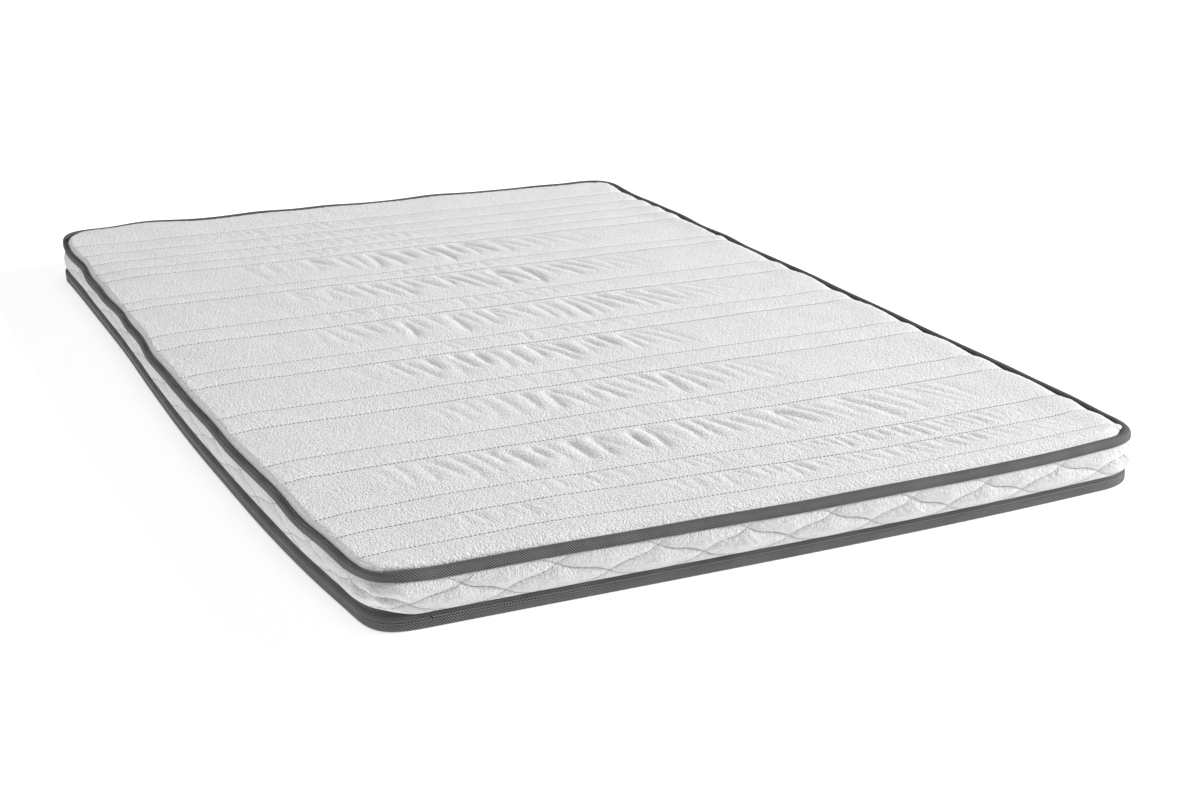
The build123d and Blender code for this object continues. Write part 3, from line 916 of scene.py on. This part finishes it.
flap += (along_curve(FLAP_AT_LEFT, 16) - along_curve(FLAP, 16)) * AT_LEFT[:, None, None]
zip_flap = band("zip_flap", folded(flap, ZIP_TAPE_THICKNESS))
finish_piece(zip_flap, ZIP_TAPE, ["zip_upper_tape"])
ZIP_INSET = HALF_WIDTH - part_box("zip_lower_tape")[1].x
plain_band("zip_lower_strip", ZIP_INSET, ZIP_INSET + ZIP_TAPE_THICKNESS, FOAM_BOTTOM + 0.2 * MM, 16.8 * MM,
           ZIP_TAPE, "zip_lower_tape")


# %% Coil and tape stitches
def ring_path(inset, height, inset_at_head=None, height_at_head=None):
    """A line round the outline at an inset and a height, which may differ along the head."""
    far_inset = inset if inset_at_head is None else inset_at_head
    far_height = height if height_at_head is None else height_at_head
    low, high = np.array([[(inset, height)], [(far_inset, far_height)]])
    return around(vary(low, high, AT_HEAD))[:, 0]


def outward_at(points):
    """The outward direction of the outline near each point."""
    nearest = [np.argmin(((RIM - p[:2]) ** 2).sum(1)) for p in points]
    flat = RIM_NORMAL[nearest]
    return np.concatenate([flat, np.zeros((len(flat), 1))], axis=1)


UP = np.array([0, 0, 1.0])
COIL_PITCH = 5 * MM
# each row's (inset, height), in mm, and the same at the head
for name, node, shape in (("coil_upper_turns", "zip_upper_coil", (1.5, 17.6, 5.25, 19.5)),
                          ("coil_lower_turns", "zip_lower_coil", (1.5, 16.0, 5.25, 15.5))):
    centre, _ = every(ring_path(*(s * MM for s in shape)), COIL_PITCH / 2, closed=True)
    turns = centre[::2] if node == "zip_upper_coil" else centre[1::2]
    outward = outward_at(turns)
    beads(name, turns, np.broadcast_to(UP, turns.shape), outward, 2.5 * MM, 1.5 * MM, COIL, [node])

for name, node, thread, shape in (("upper_tape_stitches", "upper_binding_thread", TAPE_THREAD, (-0.75, 78.2)),
                                  ("lower_tape_stitches", "lower_binding_thread", LOWER_THREAD,
                                   (0.75, 13.2, 0.55, 9.6))):
    centre, tangent = every(ring_path(*(s * MM for s in shape)), 4.5 * MM, closed=True)
    beads(name, centre, tangent, outward_at(centre), 3.2 * MM, 0.7 * MM, thread, [node],
          rise=0.1 * MM)

# %% [markdown]
# ## Inside and underneath
#
# The two foams are plain slabs with the same soft outline as the cover. The cloth underneath is a
# plain woven one with rows of raised grip dots.

# %% Foams and underside
FOAM_GAP = 0.4 * MM
support = flat_layer("support_foam_slab", FOAM_INSET + FOAM_GAP, FOAM_BOTTOM + FOAM_GAP, FOAM_SPLIT)
finish_piece(support, SUPPORT_FOAM, ["support_foam_core"])
memory = flat_layer("memory_foam_slab", FOAM_INSET + FOAM_GAP, FOAM_SPLIT, FOAM_TOP)
finish_piece(memory, MEMORY_FOAM, ["memory_foam_layer"])

UNDERSIDE_EDGE = 2.4 * MM
x, y = plan_points(spread(30 * MM, HALF_WIDTH), spread(30 * MM, HALF_LENGTH), UNDERSIDE_EDGE)
tucked = 1.9 * MM * (1 - smooth(18 * MM, 20 * MM, plan_inset(x, y)))
faces = [soften(np.stack([x, y, z], axis=-1)) for z in (np.full_like(x, FOAM_BOTTOM), tucked)]
underside = closed_panel("underside_sheet", *faces)
finish_piece(underside, UNDERSIDE, ["underside_cloth"])

# %% [markdown]
# ## Zip hardware
#
# The slider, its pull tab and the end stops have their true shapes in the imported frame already, so
# they stay, and only get the enamelled metal.

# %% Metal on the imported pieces
for node in ("zip_slider", "zip_pull_tab", "zip_end_stops"):
    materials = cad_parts[node].data.materials
    materials.clear()
    materials.append(METAL)
    print(node, "keeps its packed shape")

# %% [markdown]
# ## Floor, light and camera
#
# A white floor under an even grey sky. One strong lamp, far off on the right, gives the channels
# their shading, and a weak one from the left keeps that side from going dull. The floor glows, so
# that it comes out white.

# %% Floor and light
FLOOR_HALF = 40  # metres
FLOOR_GLOW = 0.57
SKY_STRENGTH = 0.37
floor_mesh = bpy.data.meshes.new("floor")
corners = [(sx * FLOOR_HALF, sy * FLOOR_HALF, -0.4 * MM) for sx, sy in ((-1, -1), (1, -1), (1, 1), (-1, 1))]
floor_mesh.from_pydata(corners, [], [(0, 1, 2, 3)])
floor = bpy.data.objects.new("floor", floor_mesh)
bpy.context.scene.collection.objects.link(floor)
plain = Recipe("floor_white")
floor.data.materials.append(plain.surface(grey(0.93), 0.9, Emission_Color=grey(1.0),
                                           Emission_Strength=FLOOR_GLOW))

world = bpy.data.worlds.new("sky")
bpy.context.scene.world = world
world.use_nodes = True
sky = world.node_tree.nodes["Background"]
sky.inputs["Color"].default_value = grey(1.0)
sky.inputs["Strength"].default_value = SKY_STRENGTH


def lamp(name, place, aim, size, power):
    """A square soft lamp at a place, aimed at a point."""
    data = bpy.data.lights.new(name, "AREA")
    data.size, data.energy = size, power
    made = bpy.data.objects.new(name, data)
    bpy.context.scene.collection.objects.link(made)
    made.location = place
    toward = Vector(aim) - Vector(place)
    made.rotation_euler = toward.to_track_quat("-Z", "Y").to_euler()
    made.visible_camera = False
    return made


lamp("key", place=(8.6, -2.3, 3.7), aim=(0, 0, 0), size=2.2, power=1310)
lamp("fill", place=(-6.0, -1.5, 1.3), aim=(0, 0, 0), size=1.6, power=100)
bpy.context.scene.view_settings.view_transform = "Standard"

# %% Camera
EYE = (-1.5949, -3.2855, 1.2452)
HEADING, TILT, ROLL = math.radians(28.36), math.radians(19.84), math.radians(1.6)
forward = Vector((math.sin(HEADING) * math.cos(TILT), math.cos(HEADING) * math.cos(TILT), -math.sin(TILT)))
level = Vector((math.cos(HEADING), -math.sin(HEADING), 0))
right = level * math.cos(ROLL) + level.cross(forward) * math.sin(ROLL)
up = right.cross(forward)
eye = bpy.data.objects.new("camera", bpy.data.cameras.new("camera"))
bpy.context.scene.collection.objects.link(eye)
axes = Matrix((right, up, -forward)).transposed().to_4x4()
eye.matrix_world = Matrix.Translation(EYE) @ axes
eye.data.lens, eye.data.sensor_width = 57.6, 36
bpy.context.scene.camera = eye
